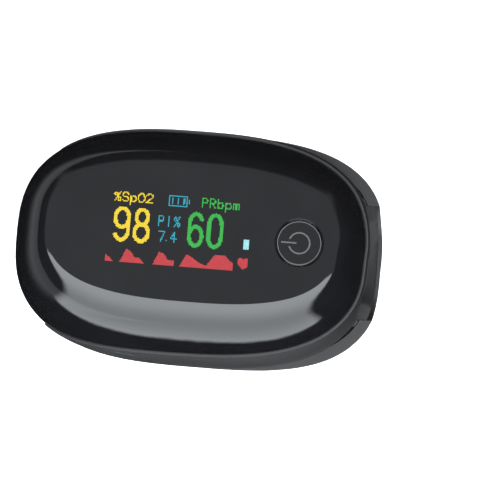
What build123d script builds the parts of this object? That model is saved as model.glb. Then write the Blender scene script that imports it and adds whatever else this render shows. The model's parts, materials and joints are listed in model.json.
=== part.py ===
"""Fingertip pulse oximeter: a sprung clip of two plastic halves that closes on a fingertip.

The lower half holds two AAA cells and the light sensor. The upper half holds the light emitter, the main
board, the display and the power button. +X points out of the finger opening, +Z points up through the
display, and the origin is the middle of the flat underside. All sizes are in millimetres, and the clip is
modelled closed.
"""

from build123d import *

import os
from math import cos, pi, radians, sin, tan

os.makedirs("parts", exist_ok=True)

# Overall shape: two shallow shells whose outlines are superellipses
LENGTH = 59.0
WIDTH = 37.6
HEIGHT = 33.0
MOUTH_STEP = 2.0  # the lower half reaches this much further at the mouth, and the upper half at the tail
PARTING_Z = 17.0
PARTING_GAP = 0.25
HALF_LENGTH = (LENGTH - MOUTH_STEP) / 2
HALF_WIDTH = WIDTH / 2
UPPER_X, LOWER_X = -MOUTH_STEP / 2, MOUTH_STEP / 2
UPPER_POWER, LOWER_POWER = 2.7, 3.0  # outline exponents
UPPER_BULGE, LOWER_BULGE = 1.75, 1.9  # side profile exponents
CROWN_X, CROWN_HALF_LENGTH, CROWN_HALF_WIDTH = -1.2, 22.3, 10.6
BASE_HALF_LENGTH, BASE_HALF_WIDTH = 24.5, 12.8
OUTLINE_POINTS = 32
SKIN_SECTIONS = 7
REACH = 40.0  # beyond the object on every side, for cutters

# Walls, and the seam between the gloss cover and the matt case
COVER_STEP = 0.25
COVER_WALL = 1.2
COVER_TOP = 1.5
CASE_WALL = 2.0
SEAM_GAP = 0.12
SEAM_MOUTH_Z = 26.3  # seam height over the far end of the cutter
SEAM_BEND_X, SEAM_BEND_Z = -5.0, 23.5  # where the straight seam starts to bend down to the tail
SEAM_END_X, SEAM_TAIL_Z = -35.0, 9.8
LOWER_WALL = 1.6
INSIDE_CLEARANCE = 0.1

# Hinge
HINGE_X, HINGE_Z = -10.5, 16.0
EAR_RADIUS = 5.0
EAR_CLEARANCE = 0.3
EAR_INNER_Y = 16.3
UPPER_RISE = 5.0  # degrees that the upper half's tail edge climbs
LOWER_FALL = 15.5  # degrees that the lower half's tail edge falls, which leaves room to open
PIN_RADIUS = 1.0
PIN_HALF_LENGTH = 16.0
RUNNING_GAP = 0.04
BOSS_RADIUS, BOSS_INNER_Y = 3.0, 13.2
LUG_RADIUS, LUG_INNER_Y, LUG_OUTER_Y = 2.6, 10.6, 13.0

# Finger tunnel, lined by the two pads
TUNNEL_Z0, TUNNEL_Z1 = 13.8, 23.4
TUNNEL_HALF_WIDTH, TUNNEL_CORNER = 9.4, 4.4
TUNNEL_STOP_X = -6.0
PAD_END_INSET = 0.5
FINGER_HALF_WIDTH, FINGER_HALF_HEIGHT = 7.2, 3.8
FINGER_Z = (TUNNEL_Z0 + TUNNEL_Z1) / 2
SENSOR_X = 9.0  # light crosses the fingertip here

# Frames
FRAME_WALL = 1.2
SHELF_Z0, SHELF_Z1 = 17.3, 18.5
ROOF_Z0, ROOF_Z1 = 19.8, 21.0
BAY_X0, BAY_X1 = -14.6, -6.4  # hinge bay in the upper frame
DECK_Z0, DECK_Z1 = 13.0, 13.8  # lower frame's deck over the cells
RAIL_Z = 16.6

# Cells (AAA)
CELL_RADIUS, CELL_LENGTH = 5.15, 44.5
CELL_NUB_RADIUS, CELL_NUB_LENGTH = 1.9, 0.8
CELL_X, CELL_Y, CELL_Z = 1.0, 5.3, 7.6
CONTACT_THICKNESS = 0.3
CONTACT_SPRING_LENGTH = 1.6
BULKHEAD = 0.8
TOUCH_GAP = 0.05

# Battery cover
HATCH_X = 21.5
HATCH_HALF_WIDTH = 11.6
HATCH_TONGUE = 0.9
HATCH_GAP = 0.1

# Board, display and button
BOARD_Z0, BOARD_Z1 = 27.5, 28.5
BOARD_X0, BOARD_X1, BOARD_HALF_WIDTH = -19.2, 18.5, 10.5
PANEL_X, PANEL_LENGTH, PANEL_WIDTH, PANEL_Z0, PANEL_Z1 = -2.6, 26.7, 19.3, 29.4, 30.9
BUTTON_X = 15.3
BUTTON_RADIUS, BUTTON_GAP = 3.5, 0.15
BUTTON_FLANGE_RADIUS, BUTTON_FLANGE_Z0, BUTTON_FLANGE_Z1 = 4.2, 30.7, 31.4
BUTTON_STEM_RADIUS, BUTTON_STEM_Z = 1.3, 30.4
BUTTON_TRAVEL = 0.3
SWITCH_TOP = 29.9
PLUNGER_RADIUS = 1.0

# Screws, with the places of their bosses and posts
COVER_BOSSES = [(-17.5, -11.0), (-17.5, 11.0), (9.5, -12.65), (9.5, 12.65)]
BOARD_POSTS = [(-17.7, 7.0), (13.0, -8.2), (13.0, 8.2)]
CASE_BOSSES = [(-16.5, -13.1), (-16.5, 13.1), (13.0, -13.6), (13.0, 13.6)]
BOSS_START_Z = 21.2
SCREW_RADIUS, SCREW_HEAD_RADIUS, SCREW_HEAD_HEIGHT = 0.9, 1.8, 1.1
BOSS_OUTER, PILLAR_OUTER = 1.9, 2.6
SCREW_CLEARANCE = 0.15
PILOT_RADIUS, PILOT_DEPTH = 0.9, 5.0
SMALL_PILOT_RADIUS, SMALL_PILOT_DEPTH = 0.6, 2.0
POST_RADIUS = 1.3
UPPER_HEAD_Z = 17.8  # underside of the heads that hold the upper frame

CROSS_SHARE = 0.3
SMALL_HEAD_RADIUS, SMALL_HEAD_HEIGHT = 1.1, 0.6
EDGE_BREAK = 0.12

# Sensor: window openings, then each piece's length, width, underside height and thickness
SENSOR_HALF_X, SENSOR_HALF_Y = 3.0, 2.5
SENSOR_CORNER = 0.3
WINDOW_LENGTH, WINDOW_WIDTH = 2 * (SENSOR_HALF_X - TOUCH_GAP), 2 * (SENSOR_HALF_Y - TOUCH_GAP)
SENSOR_PIECES = {
    "emitter_window": (WINDOW_LENGTH, WINDOW_WIDTH, TUNNEL_Z1 - 0.9, 0.8),
    "emitter_led": (3.5, 3.0, TUNNEL_Z1 - 0.05, 1.0),
    "emitter_board": (9.0, 7.0, TUNNEL_Z1 + FRAME_WALL + 0.1, 0.6),
    "photodiode_window": (WINDOW_LENGTH, WINDOW_WIDTH, TUNNEL_Z0 + 0.1, 0.8),
    "photodiode": (3.4, 3.2, DECK_Z0 - 0.05, 0.9),
    "photodiode_board": (7.5, 4.8, DECK_Z0 - 0.75, 0.6),
}
WINDOW_X = (SENSOR_X - SENSOR_HALF_X, SENSOR_X + SENSOR_HALF_X)
WINDOW_Y = (-SENSOR_HALF_Y, SENSOR_HALF_Y)
WINDOW_REACH = 1.0  # how far the window cutters run into the pads

# Battery bay
BULKHEAD_MOUTH_X = CELL_X + CELL_LENGTH / 2 + CONTACT_SPRING_LENGTH
BULKHEAD_TAIL_X = CELL_X - CELL_LENGTH / 2 - CONTACT_SPRING_LENGTH
CONTACT_HALF_HEIGHT, CONTACT_HALF_WIDTH = 2.8, 2.6
CELL_EDGE = 0.5
BATTERY_WIRE, BATTERY_TURNS, BATTERY_SPRING_RADIUS = 0.4, 2, 1.9
TONGUE_Z0, HATCH_Z1 = 0.8, 1.5
GRIP_RIBS, GRIP_X, GRIP_PITCH = 5, -19.0, 1.6
GRIP_WIDTH, GRIP_LENGTH, GRIP_DEPTH = 0.7, 12.0, 0.3

# Details of the frames, pads and hinge
DECK_TAIL_X = -23.0
DECK_NOTCH = EAR_RADIUS + EAR_CLEARANCE
LUG_HALF_WEB = 2.0
LEAD_SLOT_X, LEAD_SLOT_Y = (-20.5, -16.2), (-6.0, 6.0)
PAD_END_WALL = 1.0
PIN_GAP, PIN_CHAMFER = 0.02, 0.2
SPRING_Y, SPRING_PITCH, SPRING_TURNS = 6.2, 0.8, 3.5
SPRING_RADIUS, SPRING_WIRE, SPRING_LEG = 1.35, 0.6, 6.5

# Details of the board, the display, the button and the links
BOARD_CORNER = 2.0
CHIPS = [  # middle x, middle y, length, width and height of each
    (-6.0, 0.0, 7.0, 7.0, 1.1),  # processor
    (3.0, -3.5, 5.0, 4.0, 1.3),  # amplifier
    (3.2, 4.0, 3.0, 3.0, 1.0),  # regulator
    (15.0, 0.0, 4.0, 6.0, 1.6),  # connector
]
FOAM_X0, FOAM_HALF_WIDTH, FOAM_INSET = -11.0, 8.0, 1.0
RIBBON_THICKNESS, RIBBON_BEND, DISPLAY_RIBBON_HALF_WIDTH = 0.15, 0.5, 6.0
RIBBON_END_X = FOAM_X0 - 1
PANEL_TAIL_X = PANEL_X - PANEL_LENGTH / 2
MARK_RADIUS, MARK_LINE, MARK_GAP, MARK_BAR, MARK_DEPTH = 1.6, 0.27, 1.1, 2.4, 0.15
SWITCH_HALF, PLUNGER_DEPTH = 2.4, 0.3
RIBBON_X, RIBBON_Z, RIBBON_WIDTH = SENSOR_X - 4, 12.05, 4.0
LINK_X, LINK_BEND = -17.6, 1.5
LEAD_START, LEAD_Z, LEAD_X, LEAD_Y, LEAD_RADIUS = -1.5, 11.5, -19.3, 4.5, 0.4

ENDS = (-1, 1)


def oval(half_length, half_width, power):
    """Points of a superellipse, evenly spaced by angle."""
    points = []
    for step in range(OUTLINE_POINTS):
        angle = 2 * pi * step / OUTLINE_POINTS
        along, across = abs(cos(angle) / half_length), abs(sin(angle) / half_width)
        reach = (along**power + across**power) ** (-1 / power)
        points.append((reach * cos(angle), reach * sin(angle)))
    return points


def skin(rim, face, rim_z, face_z, power, bulge, inset):
    """Solid from the widest outline at rim_z to the flat face at face_z, with its sides moved in by inset.

    rim and face are each (middle x, half length, half width).
    """
    with BuildPart() as pebble:
        for step in range(SKIN_SECTIONS):
            angle = pi / 2 * step / (SKIN_SECTIONS - 1)
            rise = sin(angle) ** (2 / bulge)
            run = 1 - cos(angle) ** (2 / bulge)
            middle, half_length, half_width = (a + (b - a) * run for a, b in zip(rim, face))
            with BuildSketch(Plane.XY.offset(rim_z + (face_z - rim_z) * rise)):
                with BuildLine(Location((middle, 0, 0))):
                    Spline(*oval(half_length - inset, half_width - inset, power), periodic=True)
                make_face()
        loft()
    return pebble.part


def upper_skin(inset, drop):
    """Solid shape of the upper half, with its sides moved in by inset and its crown lowered by drop."""
    rim = (UPPER_X, HALF_LENGTH, HALF_WIDTH)
    crown = (CROWN_X, CROWN_HALF_LENGTH, CROWN_HALF_WIDTH)
    return skin(rim, crown, PARTING_Z, HEIGHT - drop, UPPER_POWER, UPPER_BULGE, inset)


def lower_skin(inset, rise):
    """Solid shape of the lower half, with its sides moved in by inset and its base raised by rise."""
    rim = (LOWER_X, HALF_LENGTH, HALF_WIDTH)
    base = (LOWER_X, BASE_HALF_LENGTH, BASE_HALF_WIDTH)
    return skin(rim, base, PARTING_Z, rise, LOWER_POWER, LOWER_BULGE, inset)


def side_slab(points, half_width=REACH):
    """Closed outline in the XZ plane, extruded both ways along Y."""
    with BuildPart() as slab:
        with BuildSketch(Plane.XZ):
            with BuildLine():
                Polyline(*points, close=True)
            make_face()
        extrude(amount=half_width, both=True)
    return slab.part


def under_seam(lift):
    """Everything under the seam, which is straight over the mouth and bends down towards the tail."""
    with BuildPart() as slab:
        with BuildSketch(Plane.XZ):
            with BuildLine():
                straight = Line((REACH, SEAM_MOUTH_Z + lift), (SEAM_BEND_X, SEAM_BEND_Z + lift))
                bend = TangentArc(straight @ 1, (SEAM_END_X, SEAM_TAIL_Z + lift), tangent=straight % 1)
                Polyline(bend @ 1, (-REACH, 0), (REACH, 0), straight @ 0)
            make_face()
        extrude(amount=REACH, both=True)
    return slab.part


def tunnel(margin, x0=TUNNEL_STOP_X, x1=REACH):
    """Round-cornered bar along X that the pads fill, grown by margin."""
    with BuildPart() as bar:
        with BuildSketch(Plane.YZ.offset(x0)):
            with Locations((0, FINGER_Z)):
                RectangleRounded(
                    2 * (TUNNEL_HALF_WIDTH + margin),
                    TUNNEL_Z1 - TUNNEL_Z0 + 2 * margin,
                    TUNNEL_CORNER + margin,
                )
        extrude(amount=x1 - x0)
    return bar.part


def hatch_bars(margin, top):
    """Bar through the underside with a wider tongue above it, grown by margin, in the current part."""
    for half_width, low in ((HATCH_HALF_WIDTH, -1), (HATCH_HALF_WIDTH + HATCH_TONGUE, TONGUE_Z0 - margin)):
        block((-REACH, HATCH_X + margin), (-half_width - margin, half_width + margin), (low, top))


def across_hinge(radius, y0, y1):
    """Two coaxial discs on the hinge axis, between y0 and y1 on each side."""
    with BuildPart() as discs:
        for side in ENDS:
            start = (HINGE_X, side * y0, HINGE_Z)
            with BuildSketch(Plane(origin=start, x_dir=(1, 0, 0), z_dir=(0, side, 0))):
                Circle(radius)
            extrude(amount=y1 - y0)
    return discs.part


def block(x_range, y_range, z_range, mode=Mode.ADD):
    """Rectangular block between two limits on each axis, in the current part."""
    (x0, x1), (y0, y1), (z0, z1) = x_range, y_range, z_range
    with Locations(((x0 + x1) / 2, (y0 + y1) / 2, (z0 + z1) / 2)):
        Box(x1 - x0, y1 - y0, z1 - z0, mode=mode)


def rod(place, radius, length, mode=Mode.ADD):
    """Upright cylinder that stands on a point, in the current part."""
    with Locations(place):
        Cylinder(radius, length, align=(Align.CENTER, Align.CENTER, Align.MIN), mode=mode)


def pad_end(middle_x, power):
    """Upright column whose outline lies just inside the shell at the mouth."""
    with BuildPart() as column:
        with BuildSketch():
            with BuildLine(Location((middle_x, 0, 0))):
                Spline(*oval(HALF_LENGTH - PAD_END_INSET, HALF_WIDTH - PAD_END_INSET, power), periodic=True)
            make_face()
        extrude(amount=HEIGHT)
    return column.part


def contact_plate(x, facing, y_range):
    """Thin contact plate against a battery bulkhead, which faces +X or -X."""
    with BuildPart() as plate:
        far = x + facing * CONTACT_THICKNESS
        block(sorted((x, far)), y_range, (CELL_Z - CONTACT_HALF_HEIGHT, CELL_Z + CONTACT_HALF_HEIGHT))
    return plate


def coil(plane, pitch, turns, radius, wire, leg):
    """Coil of round wire that winds along the plane's Z, with a straight tangent leg at each end."""
    with BuildPart() as spring:
        with BuildLine() as path:
            turn = Helix(pitch, pitch * turns, radius)
            if leg:
                Line((turn @ 0) - (turn % 0) * leg, turn @ 0)
                Line(turn @ 1, (turn @ 1) + (turn % 1) * leg)
        run = path.wires()[0]
        with BuildSketch(Plane(origin=run @ 0, z_dir=run % 0)):
            Circle(wire / 2)
        sweep(path=run, is_frenet=True)
    return spring.part.moved(plane.location)


def screw(place, drive_up, radius, head_radius, head_height, length):
    """Cross-head screw whose head rests at a point; drive_up is 1 when the head is above its shank."""
    seat = Plane(origin=place, z_dir=(0, 0, drive_up))
    with BuildPart() as fastener:
        with BuildSketch(seat):
            Circle(head_radius)
        extrude(amount=head_height)
        chamfer(fastener.faces().sort_by(Axis.Z)[-1 if drive_up > 0 else 0].edges(), EDGE_BREAK)
        with BuildSketch(seat):
            Circle(radius)
        extrude(amount=-length)
        with BuildSketch(seat.offset(head_height)):
            Rectangle(head_radius, head_radius * CROSS_SHARE)
            Rectangle(head_radius * CROSS_SHARE, head_radius)
        extrude(amount=-head_height / 2, mode=Mode.SUBTRACT)
    return fastener.part


def finish(piece, name):
    """Label a finished piece and write it."""
    piece.part.label = name
    export_step(piece.part, f"parts/{name}.step")


def tail_line(z, degrees_up, x):
    """Height at x of an edge that leaves the hinge at height z and climbs towards the tail."""
    return z + (HINGE_X - x) * tan(radians(degrees_up))


UPPER_EDGE_Z = PARTING_Z + PARTING_GAP / 2
LOWER_EDGE_Z = PARTING_Z - PARTING_GAP / 2
UPPER_SIDE = side_slab(
    [
        (REACH, UPPER_EDGE_Z),
        (HINGE_X, UPPER_EDGE_Z),
        (-REACH, tail_line(UPPER_EDGE_Z, UPPER_RISE, -REACH)),
        (-REACH, REACH),
        (REACH, REACH),
    ]
)
LOWER_SIDE = side_slab(
    [
        (REACH, LOWER_EDGE_Z),
        (HINGE_X, LOWER_EDGE_Z),
        (-REACH, tail_line(LOWER_EDGE_Z, -LOWER_FALL, -REACH)),
        (-REACH, -REACH),
        (REACH, -REACH),
    ]
)
CASE_SHAPE = upper_skin(0, 0)
CASE_HOLLOW = upper_skin(CASE_WALL, CASE_WALL)
COVER_SHAPE = upper_skin(COVER_STEP, 0)
COVER_HOLLOW = upper_skin(COVER_STEP + COVER_WALL, COVER_TOP)
UPPER_INSIDE = upper_skin(CASE_WALL + INSIDE_CLEARANCE, CASE_WALL)
LOWER_SHAPE = lower_skin(0, 0)
LOWER_HOLLOW = lower_skin(LOWER_WALL, LOWER_WALL)
LOWER_INSIDE = lower_skin(LOWER_WALL + INSIDE_CLEARANCE, LOWER_WALL)
EAR_HOLE = across_hinge(EAR_RADIUS + EAR_CLEARANCE, LUG_INNER_Y, HALF_WIDTH + 1)
TUNNEL_HOLE = tunnel(INSIDE_CLEARANCE)

# Everything that the gloss cover stays clear of: the case below the seam and the ears
with BuildPart() as cover_cut:
    add(under_seam(0))
    add(EAR_HOLE)
    for x, y in COVER_BOSSES:
        rod((x, y, BOSS_START_Z), BOSS_OUTER, HEIGHT, Mode.SUBTRACT)

# Room under the gloss cover, which leaves its screw bosses and board posts standing
with BuildPart() as cover_room:
    add(COVER_HOLLOW)
    for x, y in COVER_BOSSES:
        rod((x, y, BOSS_START_Z), BOSS_OUTER, HEIGHT, Mode.SUBTRACT)
    for x, y in BOARD_POSTS:
        rod((x, y, BOARD_Z1), POST_RADIUS, HEIGHT, Mode.SUBTRACT)

# Gloss top cover
with BuildPart() as top_cover:
    add(COVER_SHAPE)
    add(cover_room.part, mode=Mode.SUBTRACT)
    add(cover_cut.part, mode=Mode.SUBTRACT)
    add(UPPER_SIDE, mode=Mode.INTERSECT)
    for x, y in COVER_BOSSES:
        rod((x, y, BOSS_START_Z), PILOT_RADIUS, PILOT_DEPTH, Mode.SUBTRACT)
    for x, y in BOARD_POSTS:
        rod((x, y, BOARD_Z1), SMALL_PILOT_RADIUS, SMALL_PILOT_DEPTH, Mode.SUBTRACT)
    rod((BUTTON_X, 0, BUTTON_FLANGE_Z0), BUTTON_RADIUS + BUTTON_GAP, COVER_TOP * 2, Mode.SUBTRACT)
    button_rim = top_cover.edges().filter_by(GeomType.CIRCLE).group_by(Axis.Z)[-1]
    chamfer(button_rim, EDGE_BREAK)
finish(top_cover, "top_cover")

# Matt case below the seam
with BuildPart() as case_keep:
    add(under_seam(-SEAM_GAP))
    add(UPPER_SIDE, mode=Mode.INTERSECT)
    add(EAR_HOLE, mode=Mode.SUBTRACT)
    add(TUNNEL_HOLE, mode=Mode.SUBTRACT)

with BuildPart() as upper_case:
    add(CASE_SHAPE)
    add(CASE_HOLLOW, mode=Mode.SUBTRACT)
    add(case_keep.part, mode=Mode.INTERSECT)
finish(upper_case, "upper_case")

# Inner frame of the upper half: finger tunnel, side shelves, hinge bay and tail plate
UPPER_TAIL_Z = UPPER_EDGE_Z + PARTING_GAP
with BuildPart() as upper_plate:
    add(
        side_slab(
            [
                (REACH, SHELF_Z0),
                (REACH, SHELF_Z1),
                (BAY_X1 + FRAME_WALL, SHELF_Z1),
                (BAY_X1 + FRAME_WALL, ROOF_Z1),
                (BAY_X0 - FRAME_WALL, ROOF_Z1),
                (BAY_X0 - FRAME_WALL, tail_line(UPPER_TAIL_Z, UPPER_RISE, BAY_X0) + FRAME_WALL),
                (-REACH, tail_line(UPPER_TAIL_Z, UPPER_RISE, -REACH) + FRAME_WALL),
                (-REACH, tail_line(UPPER_TAIL_Z, UPPER_RISE, -REACH)),
                (BAY_X0, tail_line(UPPER_TAIL_Z, UPPER_RISE, BAY_X0)),
                (BAY_X0, ROOF_Z0),
                (BAY_X1, ROOF_Z0),
                (BAY_X1, SHELF_Z0),
            ]
        )
    )
    for x, y in COVER_BOSSES:
        rod((x, y, SHELF_Z0), PILLAR_OUTER, BOSS_START_Z - SHELF_Z0)
    add(UPPER_INSIDE, mode=Mode.INTERSECT)
    add(UPPER_SIDE.moved(Location((0, 0, PARTING_GAP))), mode=Mode.INTERSECT)

with BuildPart() as upper_frame:
    add(tunnel(FRAME_WALL, TUNNEL_STOP_X - FRAME_WALL, REACH))
    block((-REACH, REACH), (-REACH, REACH), (0, SHELF_Z0), Mode.SUBTRACT)
    add(UPPER_INSIDE, mode=Mode.INTERSECT)
    add(upper_plate.part)
    for side in ENDS:
        lug_y = sorted((side * LUG_INNER_Y, side * LUG_OUTER_Y))
        block((HINGE_X - LUG_HALF_WEB, HINGE_X + LUG_HALF_WEB), lug_y, (HINGE_Z, ROOF_Z1))
    add(across_hinge(LUG_RADIUS, LUG_INNER_Y, LUG_OUTER_Y))
    add(across_hinge(PIN_RADIUS + RUNNING_GAP, LUG_INNER_Y, LUG_OUTER_Y), mode=Mode.SUBTRACT)
    add(across_hinge(EAR_RADIUS + EAR_CLEARANCE, EAR_INNER_Y - EAR_CLEARANCE, REACH), mode=Mode.SUBTRACT)
    add(TUNNEL_HOLE, mode=Mode.SUBTRACT)
    for x, y in COVER_BOSSES:
        rod((x, y, 0), SCREW_RADIUS + SCREW_CLEARANCE, HEIGHT, Mode.SUBTRACT)
        rod((x, y, 0), SCREW_HEAD_RADIUS + SCREW_CLEARANCE, UPPER_HEAD_Z + SCREW_HEAD_HEIGHT, Mode.SUBTRACT)
    block(WINDOW_X, WINDOW_Y, (TUNNEL_Z1 - WINDOW_REACH, HEIGHT), Mode.SUBTRACT)
    block(LEAD_SLOT_X, LEAD_SLOT_Y, (PARTING_Z, HEIGHT), Mode.SUBTRACT)
finish(upper_frame, "upper_frame")

# Lower half: shell, hinge ears, pin bosses and the walls that carry the battery contacts
with BuildPart() as ear_stock:
    add(CASE_SHAPE)
    add(LOWER_SHAPE)
    add(across_hinge(EAR_RADIUS, EAR_INNER_Y, HALF_WIDTH + 1), mode=Mode.INTERSECT)

with BuildPart() as lower_room:
    add(LOWER_HOLLOW)
    for x in (BULKHEAD_MOUTH_X, BULKHEAD_TAIL_X - BULKHEAD):
        block((x, x + BULKHEAD), (-REACH, REACH), (0, DECK_Z0 - TOUCH_GAP), Mode.SUBTRACT)
    for x, y in CASE_BOSSES:
        rod((x, y, 0), BOSS_OUTER, DECK_Z0, Mode.SUBTRACT)

with BuildPart() as hatch_hole:
    hatch_bars(HATCH_GAP, LOWER_WALL)

with BuildPart() as lower_case:
    add(LOWER_SHAPE)
    add(lower_room.part, mode=Mode.SUBTRACT)
    add(LOWER_SIDE, mode=Mode.INTERSECT)
    add(TUNNEL_HOLE, mode=Mode.SUBTRACT)
    add(hatch_hole.part, mode=Mode.SUBTRACT)
    add(ear_stock.part)
    add(across_hinge(BOSS_RADIUS, BOSS_INNER_Y, EAR_INNER_Y + EDGE_BREAK))
    add(across_hinge(PIN_RADIUS + PIN_GAP, BOSS_INNER_Y, PIN_HALF_LENGTH + TOUCH_GAP), mode=Mode.SUBTRACT)
    for x, y in CASE_BOSSES:
        rod((x, y, DECK_Z0 - PILOT_DEPTH), PILOT_RADIUS, PILOT_DEPTH, Mode.SUBTRACT)
finish(lower_case, "lower_case")

# Sliding battery cover: the middle of the underside with a tongue along each side
with BuildPart() as hatch_stock:
    hatch_bars(0, HATCH_Z1)

with BuildPart() as battery_cover:
    add(LOWER_SHAPE)
    add(hatch_stock.part, mode=Mode.INTERSECT)
    for step in range(GRIP_RIBS):
        with Locations((GRIP_X + step * GRIP_PITCH, 0, 0)):
            Box(GRIP_WIDTH, GRIP_LENGTH, 2 * GRIP_DEPTH, mode=Mode.SUBTRACT)
finish(battery_cover, "battery_cover")

# Lower frame: a deck over the cells with a trough for the pad
with BuildPart() as lower_frame:
    add(tunnel(FRAME_WALL, TUNNEL_STOP_X - FRAME_WALL, REACH))
    block((-REACH, REACH), (-REACH, REACH), (RAIL_Z, REACH), Mode.SUBTRACT)
    block((DECK_TAIL_X, REACH), (-REACH, REACH), (DECK_Z0, DECK_Z1))
    block((-REACH, REACH), (-REACH, REACH), (0, DECK_Z0), Mode.SUBTRACT)
    add(LOWER_INSIDE, mode=Mode.INTERSECT)
    add(LOWER_SIDE.moved(Location((0, 0, -PARTING_GAP))), mode=Mode.INTERSECT)
    add(TUNNEL_HOLE, mode=Mode.SUBTRACT)
    for side in ENDS:
        bay_y = sorted((side * (LUG_INNER_Y - EAR_CLEARANCE), side * REACH))
        block((HINGE_X - DECK_NOTCH, HINGE_X + DECK_NOTCH), bay_y, (0, REACH), Mode.SUBTRACT)
    for x, y in CASE_BOSSES:
        rod((x, y, 0), SCREW_RADIUS + SCREW_CLEARANCE, REACH, Mode.SUBTRACT)
    block(WINDOW_X, WINDOW_Y, (0, TUNNEL_Z0 + WINDOW_REACH), Mode.SUBTRACT)
    block(LEAD_SLOT_X, LEAD_SLOT_Y, (0, REACH), Mode.SUBTRACT)
finish(lower_frame, "lower_frame")

# Silicone pads: the tunnel's lining, split at the parting plane and hollowed to the shape of a finger
with BuildPart() as finger_space:
    with BuildSketch(Plane.YZ.offset(TUNNEL_STOP_X + PAD_END_WALL)):
        with Locations((0, FINGER_Z)):
            Ellipse(FINGER_HALF_WIDTH, FINGER_HALF_HEIGHT)
    extrude(amount=REACH)


with BuildPart() as upper_finger_pad:
    add(tunnel(0))
    add(pad_end(UPPER_X, UPPER_POWER), mode=Mode.INTERSECT)
    block((-REACH, REACH), (-REACH, REACH), (0, PARTING_Z + PARTING_GAP), Mode.SUBTRACT)
    add(finger_space.part, mode=Mode.SUBTRACT)
    block(WINDOW_X, WINDOW_Y, (FINGER_Z, HEIGHT), Mode.SUBTRACT)
finish(upper_finger_pad, "upper_finger_pad")

with BuildPart() as lower_finger_pad:
    add(tunnel(0))
    add(pad_end(LOWER_X, LOWER_POWER), mode=Mode.INTERSECT)
    block((-REACH, REACH), (-REACH, REACH), (PARTING_Z - PARTING_GAP, HEIGHT), Mode.SUBTRACT)
    add(finger_space.part, mode=Mode.SUBTRACT)
    block(WINDOW_X, WINDOW_Y, (0, FINGER_Z), Mode.SUBTRACT)
finish(lower_finger_pad, "lower_finger_pad")

# Light path: an emitter above the nail, a photodiode below, each with its board and clear window
for name, (length, width, z, height) in SENSOR_PIECES.items():
    with BuildPart() as sensor_piece:
        with BuildSketch(Plane.XY.offset(z)):
            with Locations((SENSOR_X, 0)):
                RectangleRounded(length, width, SENSOR_CORNER)
        extrude(amount=height)
    finish(sensor_piece, name)

# Two AAA cells side by side, facing opposite ways
with BuildPart() as cells:
    for side in ENDS:
        start = Plane(origin=(CELL_X - side * CELL_LENGTH / 2, side * CELL_Y, CELL_Z), z_dir=(side, 0, 0))
        with BuildSketch(start):
            Circle(CELL_RADIUS)
        extrude(amount=CELL_LENGTH - CELL_NUB_LENGTH)
        with BuildSketch(start.offset(CELL_LENGTH - CELL_NUB_LENGTH)):
            Circle(CELL_NUB_RADIUS)
        extrude(amount=CELL_NUB_LENGTH)
    round_ends = cells.edges().filter_by(GeomType.CIRCLE).sort_by(SortBy.RADIUS)[-4:]
    fillet(round_ends, CELL_EDGE)
finish(cells, "batteries")


# Contacts: one plate bridges the cells at the mouth end, and each cell has its own at the tail end
RIGHT_CELL = (-CELL_Y - CONTACT_HALF_WIDTH, CONTACT_HALF_WIDTH - CELL_Y)
LEFT_CELL = (CELL_Y - CONTACT_HALF_WIDTH, CELL_Y + CONTACT_HALF_WIDTH)
MOUTH_PLATE_X, TAIL_PLATE_X = BULKHEAD_MOUTH_X - TOUCH_GAP, BULKHEAD_TAIL_X + TOUCH_GAP
CONTACT_PLATES = {
    "bridge_contact": contact_plate(MOUTH_PLATE_X, -1, (RIGHT_CELL[0], LEFT_CELL[1])),
    "positive_contact": contact_plate(TAIL_PLATE_X, 1, RIGHT_CELL),
    "negative_contact": contact_plate(TAIL_PLATE_X, 1, LEFT_CELL),
}
for name, plate in CONTACT_PLATES.items():
    finish(plate, name)


# Battery springs: one at the negative end of each cell
with BuildPart() as battery_springs:
    for side in ENDS:
        face_x = CELL_X - side * (CELL_LENGTH / 2 + BATTERY_WIRE)
        start = Plane(origin=(face_x, side * CELL_Y, CELL_Z), z_dir=(-side, 0, 0))
        height = CONTACT_SPRING_LENGTH - CONTACT_THICKNESS - 2 * BATTERY_WIRE
        add(coil(start, height / BATTERY_TURNS, BATTERY_TURNS, BATTERY_SPRING_RADIUS, BATTERY_WIRE, 0))
finish(battery_springs, "battery_springs")

# Hinge pin and the two torsion springs that close the jaws
with BuildPart() as hinge_pin:
    with BuildSketch(Plane(origin=(HINGE_X, -PIN_HALF_LENGTH, HINGE_Z), z_dir=(0, 1, 0))):
        Circle(PIN_RADIUS)
    extrude(amount=2 * PIN_HALF_LENGTH)
    chamfer(hinge_pin.edges().filter_by(GeomType.CIRCLE), PIN_CHAMFER)
finish(hinge_pin, "hinge_pin")

with BuildPart() as torsion_springs:
    start = Plane(origin=(HINGE_X, SPRING_Y, HINGE_Z), x_dir=(0, 0, 1), z_dir=(0, 1, 0))
    add(coil(start, SPRING_PITCH, SPRING_TURNS, SPRING_RADIUS, SPRING_WIRE, SPRING_LEG))
    mirror(about=Plane.XZ)
finish(torsion_springs, "torsion_springs")

# Main board, with clearance for the cover's bosses and holes for its own screws
with BuildPart() as main_board:
    with BuildSketch(Plane.XY.offset(BOARD_Z0)):
        with Locations(((BOARD_X0 + BOARD_X1) / 2, 0)):
            RectangleRounded(BOARD_X1 - BOARD_X0, 2 * BOARD_HALF_WIDTH, BOARD_CORNER)
        with Locations(COVER_BOSSES):
            Circle(BOSS_OUTER + SCREW_CLEARANCE, mode=Mode.SUBTRACT)
        with Locations(BOARD_POSTS):
            Circle(SMALL_PILOT_RADIUS + SCREW_CLEARANCE, mode=Mode.SUBTRACT)
    extrude(amount=BOARD_Z1 - BOARD_Z0)
finish(main_board, "main_board")

# Processor, amplifier, regulator and connector on the underside of the board
with BuildPart() as board_chips:
    for x, y, length, width, height in CHIPS:
        block((x - length / 2, x + length / 2), (y - width / 2, y + width / 2), (BOARD_Z0 - height, BOARD_Z0))
finish(board_chips, "board_chips")

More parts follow.
